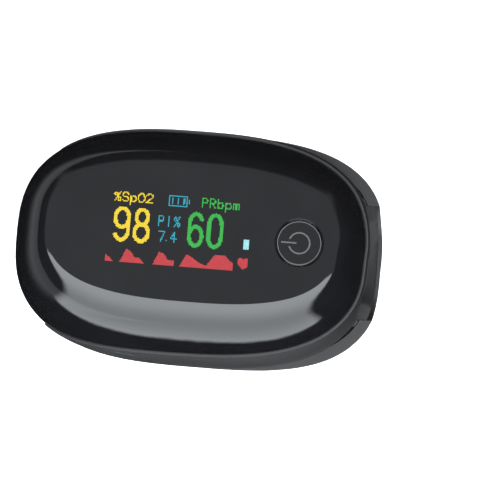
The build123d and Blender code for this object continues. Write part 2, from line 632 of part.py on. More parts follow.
# Display: glass panel on a foam pad, with its ribbon folded back to the board
with BuildPart() as display_panel:
    with BuildSketch(Plane.XY.offset(PANEL_Z0)):
        with Locations((PANEL_X, 0)):
            Rectangle(PANEL_LENGTH, PANEL_WIDTH)
    extrude(amount=PANEL_Z1 - PANEL_Z0)
    chamfer(display_panel.faces().sort_by(Axis.Z)[-1].edges(), EDGE_BREAK)
finish(display_panel, "display_panel")

with BuildPart() as display_foam:
    foam_x1 = PANEL_X + PANEL_LENGTH / 2 - FOAM_INSET
    block((FOAM_X0, foam_x1), (-FOAM_HALF_WIDTH, FOAM_HALF_WIDTH), (BOARD_Z1, PANEL_Z0))
finish(display_foam, "display_foam")

with BuildPart() as display_ribbon:
    with BuildSketch(Plane.XZ):
        with BuildLine():
            top = Line((RIBBON_END_X, PANEL_Z0 - TOUCH_GAP), (PANEL_TAIL_X, PANEL_Z0 - TOUCH_GAP))
            bend = RadiusArc(top @ 1, (PANEL_TAIL_X, BOARD_Z1 + TOUCH_GAP), RIBBON_BEND)
            Line(bend @ 1, (RIBBON_END_X, BOARD_Z1 + TOUCH_GAP))
            offset(amount=-RIBBON_THICKNESS, side=Side.LEFT)
        make_face()
    extrude(amount=DISPLAY_RIBBON_HALF_WIDTH, both=True)
finish(display_ribbon, "display_ribbon")

# Power button with its engraved mark, and the tact switch below it
with BuildPart() as power_button:
    rod((BUTTON_X, 0, BUTTON_FLANGE_Z1), BUTTON_RADIUS, HEIGHT - BUTTON_FLANGE_Z1)
    chamfer(power_button.edges().filter_by(GeomType.CIRCLE).sort_by(Axis.Z)[-1], EDGE_BREAK)
    rod((BUTTON_X, 0, BUTTON_FLANGE_Z0), BUTTON_FLANGE_RADIUS, BUTTON_FLANGE_Z1 - BUTTON_FLANGE_Z0)
    rod((BUTTON_X, 0, BUTTON_STEM_Z), BUTTON_STEM_RADIUS, BUTTON_FLANGE_Z0 - BUTTON_STEM_Z)
    with BuildSketch(Plane.XY.offset(HEIGHT)):
        with Locations((BUTTON_X, 0)):
            Circle(MARK_RADIUS + MARK_LINE / 2)
            Circle(MARK_RADIUS - MARK_LINE / 2, mode=Mode.SUBTRACT)
        with Locations((BUTTON_X - MARK_RADIUS, 0)):
            Rectangle(MARK_BAR, MARK_GAP, mode=Mode.SUBTRACT)
            Rectangle(MARK_BAR, MARK_LINE)
    extrude(amount=-MARK_DEPTH, mode=Mode.SUBTRACT)
finish(power_button, "power_button")

with BuildPart() as tact_switch:
    switch_x = (BUTTON_X - SWITCH_HALF, BUTTON_X + SWITCH_HALF)
    block(switch_x, (-SWITCH_HALF, SWITCH_HALF), (BOARD_Z1, SWITCH_TOP))
    well_z = SWITCH_TOP - PLUNGER_DEPTH - BUTTON_TRAVEL
    rod((BUTTON_X, 0, well_z), PLUNGER_RADIUS + RUNNING_GAP, HEIGHT, Mode.SUBTRACT)
finish(tact_switch, "tact_switch")

with BuildPart() as switch_plunger:
    plunger_z = SWITCH_TOP - PLUNGER_DEPTH
    rod((BUTTON_X, 0, plunger_z), PLUNGER_RADIUS, BUTTON_STEM_Z - plunger_z)
finish(switch_plunger, "switch_plunger")


LARGE_SCREW = (SCREW_RADIUS - TOUCH_GAP, SCREW_HEAD_RADIUS, SCREW_HEAD_HEIGHT)
SMALL_SCREW = (SMALL_PILOT_RADIUS - TOUCH_GAP, SMALL_HEAD_RADIUS, SMALL_HEAD_HEIGHT)
with BuildPart() as upper_screws:
    for x, y in COVER_BOSSES:
        head_top = UPPER_HEAD_Z + SCREW_HEAD_HEIGHT
        add(screw((x, y, head_top), -1, *LARGE_SCREW, BOSS_START_Z + PILOT_DEPTH - head_top - EDGE_BREAK))
finish(upper_screws, "upper_screws")

with BuildPart() as lower_screws:
    for x, y in CASE_BOSSES:
        add(screw((x, y, DECK_Z1), 1, *LARGE_SCREW, DECK_Z1 - DECK_Z0 + PILOT_DEPTH - EDGE_BREAK))
finish(lower_screws, "lower_screws")

with BuildPart() as board_screws:
    for x, y in BOARD_POSTS:
        length = BOARD_Z1 - BOARD_Z0 + SMALL_PILOT_DEPTH - EDGE_BREAK
        add(screw((x, y, BOARD_Z0), -1, *SMALL_SCREW, length))
finish(board_screws, "board_screws")

# Flexible links that cross the hinge: the photodiode's ribbon and the two power leads
with BuildPart() as sensor_ribbon:
    with BuildLine() as ribbon_path:
        start = (RIBBON_X, 0, RIBBON_Z)
        end = (LINK_X, 0, BOARD_Z0 - TOUCH_GAP)
        FilletPolyline(start, (LINK_X, 0, RIBBON_Z), end, radius=LINK_BEND)
    run = ribbon_path.wires()[0]
    with BuildSketch(Plane(origin=run @ 0, z_dir=run % 0, x_dir=(0, 1, 0))):
        Rectangle(RIBBON_WIDTH, RIBBON_THICKNESS)
    sweep(path=run)
finish(sensor_ribbon, "sensor_ribbon")

with BuildPart() as power_leads:
    for side in ENDS:
        with BuildLine() as lead_path:
            Spline(
                (BULKHEAD_TAIL_X + LEAD_START, side * CELL_Y, LEAD_Z),
                (LEAD_X, side * LEAD_Y, PARTING_Z - 1),
                (LEAD_X, side * LEAD_Y, BOARD_Z0 - TOUCH_GAP),
                tangents=[(0, 0, 1), (0, 0, 1)],
            )
        run = lead_path.wires()[0]
        with BuildSketch(Plane(origin=run @ 0, z_dir=run % 0)):
            Circle(LEAD_RADIUS)
        sweep(path=run)
finish(power_leads, "power_leads")
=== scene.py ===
"""Looks of the fingertip pulse oximeter: materials, lit display, silicone pads, button marks with painted
highlights, studio and camera.
"""

import json
from math import cos, hypot, pi, radians, sin

import bmesh
import bpy
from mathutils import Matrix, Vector

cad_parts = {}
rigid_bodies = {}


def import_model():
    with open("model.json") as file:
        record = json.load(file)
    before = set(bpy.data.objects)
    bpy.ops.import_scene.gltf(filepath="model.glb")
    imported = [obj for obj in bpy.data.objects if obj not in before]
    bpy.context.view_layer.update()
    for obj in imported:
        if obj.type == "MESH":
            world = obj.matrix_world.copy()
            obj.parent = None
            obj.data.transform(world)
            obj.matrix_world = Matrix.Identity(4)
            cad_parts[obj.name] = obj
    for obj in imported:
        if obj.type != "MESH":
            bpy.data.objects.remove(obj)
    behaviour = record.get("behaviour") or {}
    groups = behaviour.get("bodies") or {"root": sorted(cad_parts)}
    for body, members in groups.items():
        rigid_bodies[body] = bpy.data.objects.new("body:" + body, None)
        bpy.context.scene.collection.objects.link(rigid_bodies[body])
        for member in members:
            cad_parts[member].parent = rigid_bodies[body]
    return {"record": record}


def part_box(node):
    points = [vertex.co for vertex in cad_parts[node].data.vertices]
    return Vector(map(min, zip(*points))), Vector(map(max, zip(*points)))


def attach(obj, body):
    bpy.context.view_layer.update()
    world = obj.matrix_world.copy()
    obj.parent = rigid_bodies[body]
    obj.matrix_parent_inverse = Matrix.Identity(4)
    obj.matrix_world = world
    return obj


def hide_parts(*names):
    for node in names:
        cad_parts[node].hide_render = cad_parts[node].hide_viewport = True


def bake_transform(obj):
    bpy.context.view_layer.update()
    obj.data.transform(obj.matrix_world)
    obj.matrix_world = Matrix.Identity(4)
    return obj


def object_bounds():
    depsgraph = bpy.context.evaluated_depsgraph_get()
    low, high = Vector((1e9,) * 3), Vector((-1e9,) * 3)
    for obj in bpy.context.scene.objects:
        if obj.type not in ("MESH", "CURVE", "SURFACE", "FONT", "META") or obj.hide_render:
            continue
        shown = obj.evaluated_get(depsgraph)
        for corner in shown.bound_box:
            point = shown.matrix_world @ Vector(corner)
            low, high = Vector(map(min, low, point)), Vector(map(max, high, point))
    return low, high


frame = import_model()
cad_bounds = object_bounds()

MM = 0.001
UPPER, LOWER, BUTTON = "upper_half", "lower_half", "button"


# ---------------------------------------------------------------- shader nodes


def node(tree, kind, **values):
    """New shader node with attributes (lower case) and input values (by socket name) set."""
    made = tree.nodes.new(kind)
    for name, value in values.items():
        if hasattr(made, name):
            setattr(made, name, value)
        else:
            made.inputs[name.replace("_", " ")].default_value = value
    return made


def fade(tree, source, start, end, low=0.0, high=1.0):
    """Smooth step from low to high as the source value goes from start to end."""
    step = node(tree, "ShaderNodeMapRange", interpolation_type="SMOOTHSTEP")
    for name, value in (("From Min", start), ("From Max", end), ("To Min", low), ("To Max", high)):
        step.inputs[name].default_value = value
    tree.links.new(source, step.inputs["Value"])
    return step.outputs["Result"]


def combine(tree, operation, first, second):
    """Output of one arithmetic step on two values, each a number or another node's output."""
    made = node(tree, "ShaderNodeMath", operation=operation)
    for index, value in enumerate((first, second)):
        if isinstance(value, float):
            made.inputs[index].default_value = value
        else:
            tree.links.new(value, made.inputs[index])
    return made.outputs["Value"]


# ---------------------------------------------------------------- materials

CLOUD_MM = 9  # size of the slow changes in colour
RELIEF_MM = 0.05
WORN_EDGE_MM = 0.25
COAT_ROUGHNESS = 0.02


def worn_edges(tree, colour, last, amount):
    """Colour that gets paler along edges, on top of the colour in last."""
    edge = node(tree, "ShaderNodeBevel", Radius=WORN_EDGE_MM * MM)
    geometry = node(tree, "ShaderNodeNewGeometry")
    facing = node(tree, "ShaderNodeVectorMath", operation="DOT_PRODUCT")
    tree.links.new(edge.outputs["Normal"], facing.inputs[0])
    tree.links.new(geometry.outputs["Normal"], facing.inputs[1])
    mask = node(tree, "ShaderNodeMapRange", From_Min=0.995, From_Max=0.8, To_Min=0.0, To_Max=amount)
    tree.links.new(facing.outputs["Value"], mask.inputs["Value"])
    worn = node(tree, "ShaderNodeMix", data_type="RGBA")
    worn.inputs["B"].default_value = (*[min(1, c * 2.5 + 0.04) for c in colour], 1)
    tree.links.new(mask.outputs["Result"], worn.inputs["Factor"])
    tree.links.new(last, worn.inputs["A"])
    return worn.outputs["Result"]


def surface(
    name, colour, roughness, grain_mm=0.35, bump=0.1, vary=0.15, metallic=0.0, coat=0.0, wear=0.0
):
    """Procedural plastic, rubber or metal: mottled colour, grain in roughness and bump, and worn edges."""
    material = bpy.data.materials.new(name)
    material.use_nodes = True
    tree = material.node_tree
    shader = tree.nodes["Principled BSDF"]
    place = node(tree, "ShaderNodeTexCoord")
    grain = node(tree, "ShaderNodeTexNoise", Scale=1 / (grain_mm * MM), Detail=4.0, Roughness=0.6)
    cloud = node(tree, "ShaderNodeTexNoise", Scale=1 / (CLOUD_MM * MM), Detail=3.0)
    for texture in (grain, cloud):
        tree.links.new(place.outputs["Object"], texture.inputs["Vector"])
    tint = node(tree, "ShaderNodeMix", data_type="RGBA")
    tint.inputs["A"].default_value = (*[c * (1 - vary) for c in colour], 1)
    tint.inputs["B"].default_value = (*[min(1, c * (1 + vary) + 0.003) for c in colour], 1)
    tree.links.new(cloud.outputs["Fac"], tint.inputs["Factor"])
    last = tint.outputs["Result"]
    if wear:
        last = worn_edges(tree, colour, last, wear)
    tree.links.new(last, shader.inputs["Base Color"])
    rough = node(tree, "ShaderNodeMapRange", To_Min=roughness * 0.85, To_Max=min(1, roughness * 1.15))
    tree.links.new(grain.outputs["Fac"], rough.inputs["Value"])
    tree.links.new(rough.outputs["Result"], shader.inputs["Roughness"])
    relief = node(tree, "ShaderNodeBump", Strength=bump, Distance=RELIEF_MM * MM)
    tree.links.new(grain.outputs["Fac"], relief.inputs["Height"])
    tree.links.new(relief.outputs["Normal"], shader.inputs["Normal"])
    shader.inputs["Metallic"].default_value = metallic
    shader.inputs["Coat Weight"].default_value = coat
    shader.inputs["Coat Roughness"].default_value = COAT_ROUGHNESS
    return material


def lit(name, colour):
    """Glowing display pixels, a little uneven from pixel to pixel."""
    material = surface(name, [c * 0.1 for c in colour], 0.3, 0.2, 0.0)
    tree = material.node_tree
    shader = tree.nodes["Principled BSDF"]
    shader.inputs["Emission Color"].default_value = (*colour, 1)
    flicker = node(tree, "ShaderNodeTexNoise", Scale=1 / (0.6 * MM))
    power = node(tree, "ShaderNodeMapRange", To_Min=0.85, To_Max=1.15)
    place = node(tree, "ShaderNodeTexCoord")
    tree.links.new(place.outputs["Object"], flicker.inputs["Vector"])
    tree.links.new(flicker.outputs["Fac"], power.inputs["Value"])
    tree.links.new(power.outputs["Result"], shader.inputs["Emission Strength"])
    return material


def clear(name):
    """Clear window with a faint tint."""
    material = surface(name, (0.75, 0.78, 0.8), 0.08, 0.6, 0.02)
    material.node_tree.nodes["Principled BSDF"].inputs["Transmission Weight"].default_value = 0.8
    return material


# Each surface: its name, colour, roughness, grain size in mm, bump and colour variation
MATERIALS = {
    "gloss_black": surface("piano_black", (0.004, 0.004, 0.005), 0.035, 3.0, 0.004, 0.1, coat=0.3),
    "matt_black": surface("spark_texture", (0.017, 0.0165, 0.018), 0.5, 0.16, 0.6, 0.2, wear=0.5),
    "frame_black": surface("inner_moulding", (0.022, 0.022, 0.024), 0.5, 0.4, 0.2, 0.2, wear=0.3),
    "silicone": surface("silicone", (0.013, 0.013, 0.014), 0.7, 0.25, 0.15, 0.25),
    "steel": surface("spring_steel", (0.62, 0.61, 0.59), 0.28, 0.12, 0.1, 0.1, metallic=1.0),
    "board_green": surface("solder_mask", (0.01, 0.11, 0.045), 0.35, 0.5, 0.12, 0.25),
    "chip_black": surface("moulded_package", (0.015, 0.015, 0.016), 0.6, 0.2, 0.25),
    "display_glass": surface("panel_glass", (0.01, 0.01, 0.014), 0.08, 1.5, 0.01),
    "clear_window": clear("clear_epoxy"),
    "foam": surface("foam", (0.06, 0.06, 0.062), 0.95, 0.3, 0.8, 0.3),
    "ribbon_amber": surface("polyimide", (0.42, 0.18, 0.03), 0.3, 0.8, 0.05, 0.2),
    "cell_jacket": surface("cell_jacket", (0.09, 0.15, 0.24), 0.3, 0.5, 0.04, 0.15, metallic=0.4),
    "led_white": surface("sensor_package", (0.75, 0.74, 0.7), 0.4, 0.3, 0.1, 0.08),
}
# Pale grey for painted highlights: it stands in for the glints on the button's rim and along the edges of
# its engraved power mark
PAINTED_GLINT = surface("painted_glint_grey", (0.06, 0.062, 0.065), 0.55, 0.3, 0.05, 0.1)
YELLOW = lit("lit_yellow", (0.85, 0.62, 0.01))
GREEN = lit("lit_green", (0.02, 0.42, 0.045))
CYAN = lit("lit_cyan", (0.012, 0.34, 0.46))
PALE = lit("lit_pale", (0.35, 0.75, 0.78))
RED = lit("lit_red", (0.52, 0.03, 0.04))


def dress(piece, material):
    """Give a piece one material in every slot."""
    if not piece.material_slots:
        piece.data.materials.append(material)
    for holder in piece.material_slots:
        holder.material = material


def place_mesh(name, shape, material):
    """Object made from a finished bmesh, in the scene with its material."""
    mesh = bpy.data.meshes.new(name)
    shape.to_mesh(mesh)
    shape.free()
    piece = bpy.data.objects.new(name, mesh)
    bpy.context.scene.collection.objects.link(piece)
    dress(piece, material)
    return piece


# ---------------------------------------------------------------- CAD nodes

SOFT_EDGES_MM = {"upper_case": 0.14, "lower_case": 0.14, "battery_cover": 0.1, "top_cover": 0.05}

for subpart in frame["record"]["subparts"]:
    dress(bpy.data.objects[subpart["node"]], MATERIALS[subpart["material_slot"]])

# Round the visible mouldings' sharp edges so that they catch the light
for node_name, width_mm in SOFT_EDGES_MM.items():
    bevel = bpy.data.objects[node_name].modifiers.new("soft_edges", "BEVEL")
    bevel.width = width_mm * MM
    bevel.segments = 2
    bevel.limit_method = "ANGLE"
    bevel.angle_limit = radians(40)


# ---------------------------------------------------------------- display

TOP_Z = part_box("top_cover")[1][2]
PANEL_LOW, PANEL_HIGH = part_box("display_panel")
COLUMNS, ROWS = 128, 64
PIXEL = 21.74 / COLUMNS  # mm
PIXEL_FILL = 0.92  # lit share of a pixel's pitch
GLOW = 0.012 * MM
SCREEN_X, SCREEN_Y = (PANEL_LOW[0] + PANEL_HIGH[0]) / 2 / MM - 0.6, 0.4
LABEL_LINE, DIGIT_LINE = 0.2, 0.6


def arc(x, y, rx, ry, start, end, steps=14):
    """Points along part of an ellipse, with angles in degrees."""
    turn = [radians(start + (end - start) * i / steps) for i in range(steps + 1)]
    return [(x + rx * cos(a), y + ry * sin(a)) for a in turn]


# Characters as strokes in a box that is 1 wide and 1 high
LETTER_P = [(0.05, 0), (0.05, 1), (0.5, 1)] + arc(0.5, 0.75, 0.4, 0.25, 90, -90) + [(0.05, 0.5)]
LOW_BOWL = arc(0.5, 0.33, 0.4, 0.33, 0, 360)
M_HUMPS = [arc(x, 0.45, 0.25, 0.2, 180, 0) + [(x + 0.25, 0)] for x in (0.25, 0.75)]
GLYPHS = {
    "0": [arc(0.5, 0.68, 0.5, 0.32, 0, 180) + arc(0.5, 0.32, 0.5, 0.32, 180, 360) + [(1, 0.68)]],
    "2": [arc(0.5, 0.72, 0.5, 0.28, 170, -20) + [(0, 0), (1, 0)]],
    "4": [[(0.75, 0), (0.75, 1), (0, 0.3), (1, 0.3)]],
    "6": [arc(0.5, 0.68, 0.5, 0.32, 30, 180) + arc(0.5, 0.3, 0.5, 0.3, 180, 540)],
    "7": [[(0, 1), (1, 1), (0.35, 0)]],
    "8": [arc(0.5, 0.76, 0.42, 0.24, 0, 360), arc(0.5, 0.27, 0.5, 0.27, 0, 360)],
    "9": [arc(0.5, 0.32, 0.5, 0.32, 210, 360) + arc(0.5, 0.7, 0.5, 0.3, 0, 360)],
    "%": [arc(0.22, 0.78, 0.2, 0.18, 0, 360), arc(0.78, 0.22, 0.2, 0.18, 0, 360), [(0.1, 0), (0.9, 1)]],
    ".": [[(0.5, 0), (0.5, 0.05)]],
    "S": [arc(0.5, 0.75, 0.45, 0.25, 20, 270) + arc(0.5, 0.25, 0.45, 0.25, 90, -160)],
    "p": [[(0.1, -0.3), (0.1, 0.65)], LOW_BOWL],
    "O": [arc(0.5, 0.5, 0.5, 0.5, 0, 360)],
    "P": [LETTER_P],
    "R": [LETTER_P, [(0.4, 0.5), (0.95, 0)]],
    "b": [[(0.1, 0), (0.1, 1)], LOW_BOWL],
    "m": [[(0, 0), (0, 0.65)], *M_HUMPS],
    "I": [[(0.5, 0), (0.5, 1)]],
}


def near_stroke(x, y, stroke):
    """Shortest distance from a point to a stroke."""
    best = 1e9
    for (x0, y0), (x1, y1) in zip(stroke, stroke[1:]):
        dx, dy = x1 - x0, y1 - y0
        share = ((x - x0) * dx + (y - y0) * dy) / max(dx * dx + dy * dy, 1e-12)
        share = max(0, min(1, share))
        best = min(best, hypot(x - x0 - share * dx, y - y0 - share * dy))
    return best


def write(text, left, base, width, height, pitch):
    """Strokes in millimetres for a line of text; width and pitch are one character's."""
    strokes = []
    for index, letter in enumerate(text):
        start = left + index * pitch
        for stroke in GLYPHS[letter]:
            strokes.append([(start + x * width, base + y * height) for x, y in stroke])
    return strokes


def glow(name, material, strokes=(), line=0.0, filled=None):
    """Lit pixels of the panel within half a line's width of the strokes, or inside filled(x, y)."""
    shape = bmesh.new()
    side = PIXEL * PIXEL_FILL * MM
    for column in range(COLUMNS):
        x = SCREEN_X + (column - (COLUMNS - 1) / 2) * PIXEL
        for row in range(ROWS):
            y = SCREEN_Y + (row - (ROWS - 1) / 2) * PIXEL
            on = any(near_stroke(x, y, stroke) <= line / 2 for stroke in strokes)
            if on or (filled and filled(x, y)):
                made = bmesh.ops.create_cube(shape, size=1)["verts"]
                bmesh.ops.scale(shape, vec=(side, side, GLOW), verts=made)
                bmesh.ops.translate(shape, vec=(x * MM, y * MM, TOP_Z + GLOW * 0.6), verts=made)
    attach(place_mesh(name, shape, material), UPPER)


# Pulse wave: each hump's outline above the baseline
WAVE_BASE = -5.05
WAVE = [
    [(-14.1, -4.0), (-13.6, -4.3), (-12.8, -5.1)],
    [(-11.9, -5.05), (-10.9, -3.0), (-10.3, -3.3), (-9.6, -4.1), (-8.8, -4.2), (-7.9, -5.1)],
    [(-6.8, -5.05), (-5.9, -3.0), (-5.2, -3.3), (-4.5, -4.1), (-3.5, -4.2)],
    [(-2.7, -5.05), (-1.7, -3.1), (-1.0, -3.4), (0.2, -4.2), (1.4, -4.6)]
    + [(2.6, -2.8), (4.1, -2.8), (5.5, -4.0)],
]
HEART_X, HEART_Y, HEART_SIZE = 7.0, -3.9, 0.95
BAR_X, BAR_Y = (6.9, 7.65), (-1.7, -0.1)
BATTERY_X, BATTERY_Y, BATTERY_TIP_X = (-5.0, -2.2), (4.2, 5.8), -1.9


def in_wave(x, y):
    """True between the pulse wave's baseline and its curve."""
    for curve in WAVE:
        for (x0, y0), (x1, y1) in zip(curve, curve[1:]):
            if x0 <= x < x1 and WAVE_BASE <= y <= y0 + (y1 - y0) * (x - x0) / (x1 - x0):
                return True
    return False


def in_heart(x, y):
    """True inside a small heart."""
    u, v = (x - HEART_X) / HEART_SIZE, (y - HEART_Y) / HEART_SIZE + 0.1
    return (u * u + v * v - 0.7) ** 3 - u * u * v**3 < 0


def in_bar(x, y):
    """True inside the short pulse bar."""
    return BAR_X[0] < x < BAR_X[1] and BAR_Y[0] < y < BAR_Y[1]


def battery_icon():
    """Strokes of the battery sign: its outline, its tip and three charge lines."""
    (x0, x1), (y0, y1) = BATTERY_X, BATTERY_Y
    outline = [(x0, y0), (x1, y0), (x1, y1), (x0, y1), (x0, y0)]
    charge = [[(x, y0 + 0.4), (x, y1 - 0.4)] for x in (-4.5, -3.6, -2.7)]
    return [outline, [(BATTERY_TIP_X, y0 + 0.5), (BATTERY_TIP_X, y1 - 0.5)], *charge]


# Each line of text: its left end and base, one character's width and height, and the pitch
index_value = write("74", -6.1, -1.3, 0.8, 1.5, 1.75) + write(".", -5.4, -1.3, 0.7, 1.5, 1)
glow("oxygen_label", YELLOW, write("%SpO2", -13.4, 4.35, 0.98, 1.36, 1.22), LABEL_LINE)
glow("oxygen_digits", YELLOW, write("98", -13.0, -1.65, 2.1, 4.9, 3.05), DIGIT_LINE)
glow("pulse_label", GREEN, write("PRbpm", 0.0, 4.35, 0.98, 1.36, 1.2), LABEL_LINE)
glow("pulse_digits", GREEN, write("60", -1.6, -1.65, 1.95, 4.9, 2.95), DIGIT_LINE)
glow("battery_icon", CYAN, battery_icon(), LABEL_LINE)
glow("index_label", CYAN, write("PI%", -6.4, 1.0, 0.9, 1.5, 1.2), LABEL_LINE)
glow("index_digits", CYAN, index_value, LABEL_LINE)
glow("pulse_bar", PALE, filled=in_bar)
glow("pulse_wave", RED, filled=in_wave)
glow("pulse_heart", RED, filled=in_heart)


# ---------------------------------------------------------------- silicone pads

PAD_MIDDLE_Z = 18.6
PAD_HALF_Y, PAD_HALF_Z, PAD_POWER = 9.35, 4.75, 3.2
FINGER_HALF_Y, FINGER_HALF_Z = 7.2, 3.8
CLOSED_SHARE = 0.16  # of the pad's length, over which its finger space closes at the tail
LIP_SHARE, LIP_FLARE = 0.1, 0.16
RIB_COUNT, RIB_HEIGHT = 14, 0.12
LEAST_HALF_Y, LEAST_HALF_Z = 0.8, 1.9
SHELL_HALF_LENGTH, SHELL_HALF_WIDTH = 28, 18.3
SHELL_POWER = {UPPER: 2.7, LOWER: 3.0}
PAD_STATIONS, PAD_STEPS = 64, 28


def finger_half_sizes(along):
    """Half width and half height of the finger space, for a share of the pad's length from the tail."""
    closing = 1 - max(0, 1 - along / CLOSED_SHARE) ** 2.2
    flare = max(0, (along - 1 + LIP_SHARE) / LIP_SHARE) ** 2 * LIP_FLARE
    rib = 0
    if LIP_SHARE < along < 1 - LIP_SHARE:
        rib = RIB_HEIGHT * (0.5 + 0.5 * cos(along * 2 * pi * RIB_COUNT))
    wide = FINGER_HALF_Y * (closing + flare) - rib
    tall = FINGER_HALF_Z * (closing * 0.96 + flare) - rib
    return max(wide, LEAST_HALF_Y), max(tall, LEAST_HALF_Z)


def pad_ring(x, sizes, mouth_x, place_z):
    """Section of a pad at x: along its outside, then back along the finger space."""
    wide, tall = sizes
    inner, outer = [], []
    for step in range(PAD_STEPS + 1):
        angle = pi * step / PAD_STEPS
        y = wide * cos(angle)
        inner.append((min(x, mouth_x(y) - 0.1), y, place_z(tall * sin(angle))))
        reach = (abs(cos(angle)) ** PAD_POWER + abs(sin(angle)) ** PAD_POWER) ** (-1 / PAD_POWER)
        y = PAD_HALF_Y * reach * cos(angle)
        outer.append((min(x, mouth_x(y)), y, place_z(PAD_HALF_Z * reach * sin(angle))))
    return outer + inner[::-1]


def skin_rings(rings):
    """Closed bmesh over pad sections that all have the same number of points."""
    shape = bmesh.new()
    points = [[shape.verts.new([c * MM for c in point]) for point in ring] for ring in rings]
    count = len(points[0])
    for ring, following in zip(points, points[1:]):
        for i in range(count):
            j = (i + 1) % count
            shape.faces.new((ring[i], ring[j], following[j], following[i]))
    for ring in (points[0], points[-1]):
        for i in range(PAD_STEPS):
            shape.faces.new((ring[i], ring[i + 1], ring[count - 2 - i], ring[count - 1 - i]))
    bmesh.ops.remove_doubles(shape, verts=shape.verts, dist=0.005 * MM)
    bmesh.ops.dissolve_degenerate(shape, edges=shape.edges, dist=0.002 * MM)
    bmesh.ops.recalc_face_normals(shape, faces=shape.faces)
    return shape


def pad(name, node_name, body):
    """Finger pad lofted along X: round outside, finger-shaped inside with soft ribs and a flared lip."""
    low, high = (Vector(corner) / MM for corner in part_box(node_name))
    power = SHELL_POWER[body]

    def mouth_x(y):
        """Where the pad ends at the mouth, just inside the shell's outline."""
        edge = (1 - (abs(y) / SHELL_HALF_WIDTH) ** power) ** (1 / power)
        return high.x - 0.3 - SHELL_HALF_LENGTH * (1 - edge)

    def place_z(rise):
        """Height of a point that far from the middle, kept on the pad's own side of the split."""
        if body == UPPER:
            return max(PAD_MIDDLE_Z + rise, low.z)
        return min(PAD_MIDDLE_Z - rise, high.z)

    rings = []
    for station in range(PAD_STATIONS + 1):
        along = station / PAD_STATIONS
        x = low.x + (high.x - low.x) * along
        rings.append(pad_ring(x, finger_half_sizes(along), mouth_x, place_z))
    piece = place_mesh(name, skin_rings(rings), MATERIALS["silicone"])
    piece.data.shade_smooth()
    piece.modifiers.new("split_edges", "EDGE_SPLIT").split_angle = radians(50)
    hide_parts(node_name)
    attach(piece, body)


pad("upper_pad_liner", "upper_finger_pad", UPPER)
pad("lower_pad_liner", "lower_finger_pad", LOWER)


# ---------------------------------------------------------------- button marks and painted highlights: a pale ring on the rim, a pale fill in the power mark

BUTTON_LOW, BUTTON_HIGH = (Vector(corner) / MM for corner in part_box("power_button"))
BUTTON_X, BUTTON_Z = (BUTTON_LOW.x + BUTTON_HIGH.x) / 2, BUTTON_HIGH.z
RING_RADIUS, RING_LINE = 3.3, 0.13
MARK_RADIUS, MARK_LINE, MARK_OPEN_DEGREES = 1.6, 0.24, 159.5
MARK_BAR_START, MARK_BAR_END = 2.76, 0.44
ON_TOP = (BUTTON_Z - 0.01, BUTTON_Z + 0.012)
IN_GROOVE = (BUTTON_Z - 0.145, BUTTON_Z - 0.02)


def painted_glint_line(name, points, width, z_range):
    """Flat pale line of even width along points in millimetres, on the power button: a painted highlight
    that stands in for the glints on the button's edges.
    """
    low_z, high_z = z_range
    shape = bmesh.new()
    rows = []
    for index, (x, y) in enumerate(points):
        (x0, y0), (x1, y1) = points[max(index - 1, 0)], points[min(index + 1, len(points) - 1)]
        span = hypot(x1 - x0, y1 - y0)
        off_x, off_y = -(y1 - y0) / span * width / 2, (x1 - x0) / span * width / 2
        corners = [(x + off_x, y + off_y, low_z), (x - off_x, y - off_y, low_z)]
        corners += [(x - off_x, y - off_y, high_z), (x + off_x, y + off_y, high_z)]
        rows.append([shape.verts.new([c * MM for c in corner]) for corner in corners])
    for row, following in zip(rows, rows[1:]):
        for i in range(4):
            j = (i + 1) % 4
            shape.faces.new((row[i], row[j], following[j], following[i]))
    shape.faces.new(rows[0][::-1])
    shape.faces.new(rows[-1])
    bmesh.ops.remove_doubles(shape, verts=shape.verts, dist=0.001 * MM)
    bmesh.ops.recalc_face_normals(shape, faces=shape.faces)
    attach(place_mesh(name, shape, PAINTED_GLINT), BUTTON)


# The ring on the button's rim is a painted highlight for the glint of its chamfered edge
ring_points = arc(BUTTON_X, 0, RING_RADIUS, RING_RADIUS, 0, 360, 72)
mark_points = arc(BUTTON_X, 0, MARK_RADIUS, MARK_RADIUS, -MARK_OPEN_DEGREES, MARK_OPEN_DEGREES, 48)
bar_points = [(BUTTON_X - MARK_BAR_START, 0), (BUTTON_X - MARK_BAR_END, 0)]
painted_glint_line("button_ring", ring_points, RING_LINE, ON_TOP)
# The power mark is engraved in the button; its grey fill is a painted highlight for the glints along the
# engraving's edges
painted_glint_line("power_mark_ring", mark_points, MARK_LINE, IN_GROOVE)
painted_glint_line("power_mark_bar", bar_points, MARK_LINE, IN_GROOVE)


# ---------------------------------------------------------------- links across the hinge


def link_copy(name, node_name, slot):
    """Copy of a springy or flexible CAD node that runs between the two halves, with its own material, in
    place of the hidden node.
    """
    source = bpy.data.objects[node_name]
    piece = bpy.data.objects.new(name, source.data.copy())
    piece.matrix_world = source.matrix_world.copy()
    bpy.context.scene.collection.objects.link(piece)
    dress(piece, MATERIALS[slot])
    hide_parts(node_name)
    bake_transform(piece)


link_copy("jaw_springs", "torsion_springs", "steel")
link_copy("flex_ribbon", "sensor_ribbon", "ribbon_amber")
link_copy("flex_leads", "power_leads", "chip_black")


# ---------------------------------------------------------------- studio

STUDIO_TINT = (0.93, 0.98, 1.0, 1)
SOFTBOX_LOW, SOFTBOX_HIGH = 3.0, 5.5
CEILING_LEVEL, WORLD_BASE = 0.42, 0.03
TAIL_LEVEL, FLOOR_BASE = 0.5, 0.01
FLOOR_SIZE, FLOOR_DROP, FLOOR_GLOW = 6.0, 0.1 * MM, 0.6


